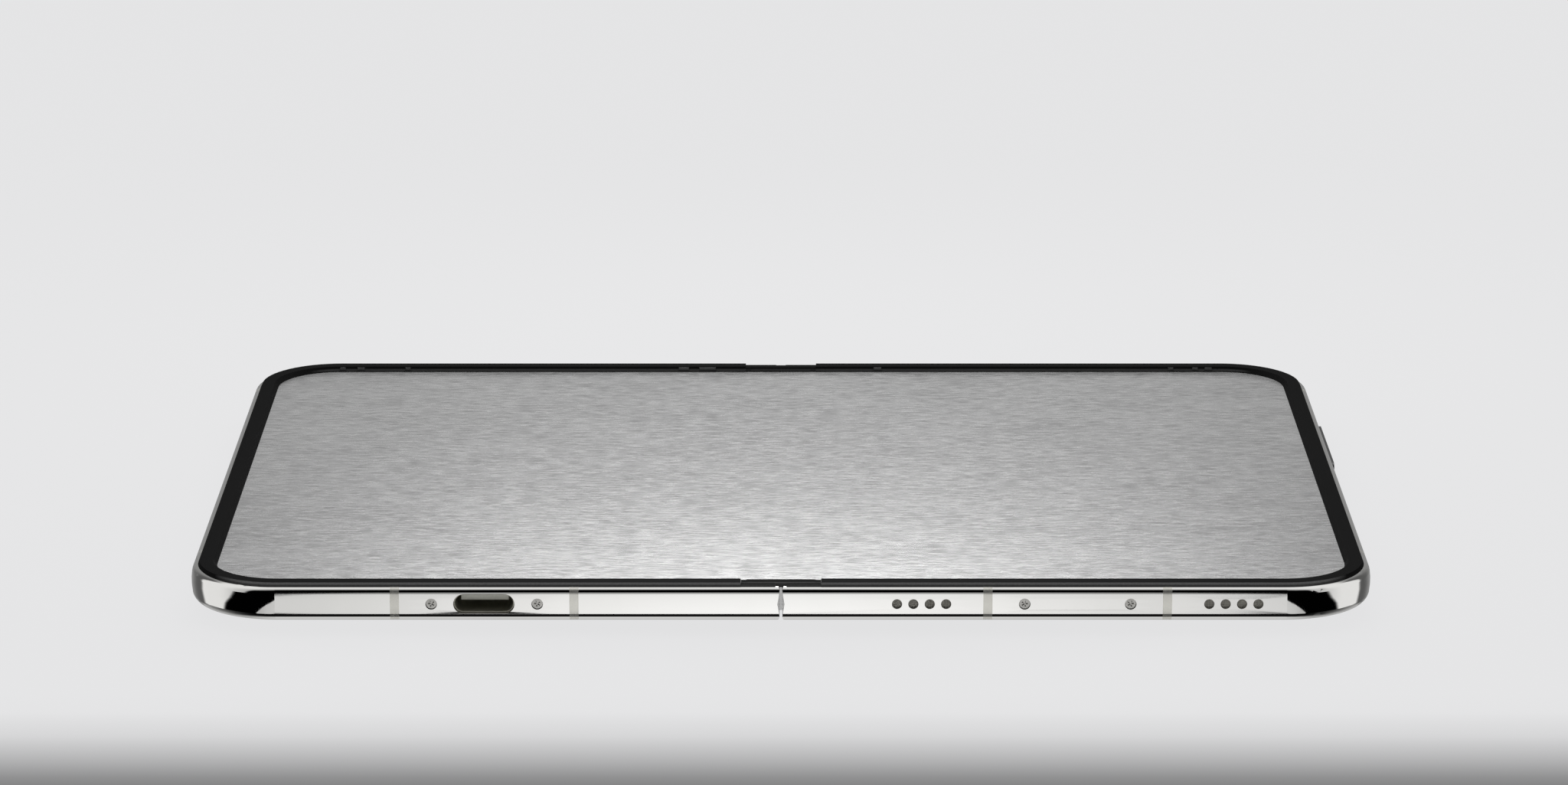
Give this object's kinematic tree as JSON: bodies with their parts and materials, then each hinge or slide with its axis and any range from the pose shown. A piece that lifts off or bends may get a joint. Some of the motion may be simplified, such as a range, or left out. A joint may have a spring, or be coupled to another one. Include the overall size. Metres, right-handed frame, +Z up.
{
  "type": "foldable smartphone",
  "caption": "Book-style foldable smartphone, open flat, with a geared hinge, steel frame, matt inner bezel and brushed steel sheet across the fold.",
  "frame": {"origin": "under the middle of the hinge, on the plane that the camera rings touch", "axes": "+X across the open phone towards the half with the cameras, +Y along the hinge towards the far edge, +Z up out of the inner screen"},
  "size_m": [0.1664, 0.1204, 0.0072],
  "materials": {
    "frame_steel": "polished steel, faintly warm",
    "antenna_plastic": "satin beige grey",
    "alloy": "bead blasted",
    "bezel_black": "soft matt black",
    "stiffener": "dark rolled steel",
    "screen_steel": "fine horizontal brushing",
    "back_glass": "silky pale grey glass",
    "deck_metal": "satin",
    "ring_metal": "turned",
    "lens_glass": "coated lens glass",
    "camera_black": "black barrel",
    "board_green": "solder mask",
    "shield_metal": "stamped tin plated",
    "cell_wrap": "wrapped pouch",
    "module_black": "moulded",
    "mesh_metal": "woven mesh",
    "screw_steel": "turned head",
    "key_metal": "polished dark steel",
    "switch_gold": "plated",
    "bracket_steel": "sintered steel",
    "magnet": "nickel plated",
    "outer_glass": "black mirror-smooth glass",
    "panel_dark": "display panel",
    "spine_metal": "satin, run along the hinge",
    "hinge_steel": "sintered and ground",
    "washer_steel": "spring steel",
    "gear_steel": "hardened",
    "flex_amber": "polyimide film"
  },
  "bodies": {
    "right_half": {"right_frame": "frame_steel", "right_antenna_bands": "antenna_plastic", "right_midplate": "alloy", "right_hinge_rail": "alloy", "right_bezel": "bezel_black", "right_screen_plate": "stiffener", "screen_right": "screen_steel", "back_cover": "back_glass", "camera_deck": "deck_metal", "camera_rings": "ring_metal", "camera_lenses": "lens_glass", "camera_modules": "camera_black", "flash_window": "lens_glass", "main_board": "board_green", "board_shields": "shield_metal", "right_battery": "cell_wrap", "speaker_box": "module_black", "speaker_meshes": "mesh_metal", "right_edge_screws": "screw_steel", "power_switch": "switch_gold", "volume_switches": "switch_gold", "right_hinge_brackets": "bracket_steel", "right_bracket_screws": "screw_steel", "right_magnets": "magnet"},
    "spine": {"spine_shell": "spine_metal", "spine_end_caps": "spine_metal", "hinge_bases": "hinge_steel", "hinge_pins": "hinge_steel", "friction_washers": "washer_steel", "screen_fold": "screen_steel", "hinge_caps": "bezel_black", "hinge_flex": "flex_amber"},
    "left_half": {"left_frame": "frame_steel", "left_antenna_bands": "antenna_plastic", "left_midplate": "alloy", "left_hinge_rail": "alloy", "left_bezel": "bezel_black", "left_screen_plate": "stiffener", "screen_left": "screen_steel", "cover_glass": "outer_glass", "cover_display": "panel_dark", "selfie_camera": "camera_black", "left_battery": "cell_wrap", "sub_board": "board_green", "usb_shell": "shield_metal", "usb_tongue": "module_black", "left_edge_screws": "screw_steel", "vibration_motor": "shield_metal", "earpiece": "module_black", "left_hinge_brackets": "bracket_steel", "left_bracket_screws": "screw_steel", "left_magnets": "magnet"},
    "right_wing": {"right_wing": "stiffener"},
    "left_wing": {"left_wing": "stiffener"},
    "right_arms": {"right_arms": "gear_steel"},
    "left_arms": {"left_arms": "gear_steel"},
    "right_idlers": {"right_idlers": "gear_steel"},
    "left_idlers": {"left_idlers": "gear_steel"},
    "power_key": {"power_key": "key_metal"},
    "volume_key": {"volume_key": "key_metal"}
  },
  "joints": [
    {"name": "right_fold", "type": "hinge", "parent": "right_half", "child": "spine", "pos_m": [0.0014, 0, 0.00592], "axis": [0, 1, 0], "range_deg": [0, 90], "deforming": ["screen_fold", "hinge_caps", "hinge_flex"]},
    {"name": "left_fold", "type": "hinge", "parent": "spine", "child": "left_half", "pos_m": [-0.0014, 0, 0.00592], "axis": [0, 1, 0], "range_deg": [0, 90]},
    {"name": "right_arm_turn", "type": "hinge", "parent": "spine", "child": "right_arms", "pos_m": [0.0024, 0, 0.0046], "axis": [0, 1, 0], "range_deg": [-90, 0]},
    {"name": "left_arm_turn", "type": "hinge", "parent": "spine", "child": "left_arms", "pos_m": [-0.0024, 0, 0.0046], "axis": [0, 1, 0], "range_deg": [0, 90]},
    {"name": "right_idler_turn", "type": "hinge", "parent": "spine", "child": "right_idlers", "pos_m": [0.0008, 0, 0.0046], "axis": [0, 1, 0], "range_deg": [0, 90]},
    {"name": "left_idler_turn", "type": "hinge", "parent": "spine", "child": "left_idlers", "pos_m": [-0.0008, 0, 0.0046], "axis": [0, 1, 0], "range_deg": [-90, 0]},
    {"name": "right_wing_tilt", "type": "hinge", "parent": "right_half", "child": "right_wing", "pos_m": [0.0083, 0, 0.0056], "axis": [0, 1, 0], "range_deg": [-19, 0]},
    {"name": "left_wing_tilt", "type": "hinge", "parent": "left_half", "child": "left_wing", "pos_m": [-0.0083, 0, 0.0056], "axis": [0, 1, 0], "range_deg": [0, 19]},
    {"name": "power_press", "type": "slide", "parent": "right_half", "child": "power_key", "axis": [-1, 0, 0], "range_m": [0, 0.00025], "stiffness_N_per_m": 4000, "springref_m": -0.0002},
    {"name": "volume_press", "type": "slide", "parent": "right_half", "child": "volume_key", "axis": [0, -1, 0], "range_m": [0, 0.00025], "stiffness_N_per_m": 4000, "springref_m": -0.0002}
  ],
  "couplings": [
    {"joint": "left_fold", "follows": "right_fold", "ratio": 1},
    {"joint": "right_arm_turn", "follows": "right_fold", "ratio": -1},
    {"joint": "left_arm_turn", "follows": "right_fold", "ratio": 1},
    {"joint": "right_idler_turn", "follows": "right_fold", "ratio": 1},
    {"joint": "left_idler_turn", "follows": "right_fold", "ratio": -1},
    {"joint": "right_wing_tilt", "follows": "right_fold", "ratio": -0.2111},
    {"joint": "left_wing_tilt", "follows": "right_fold", "ratio": 0.2111}
  ]
}
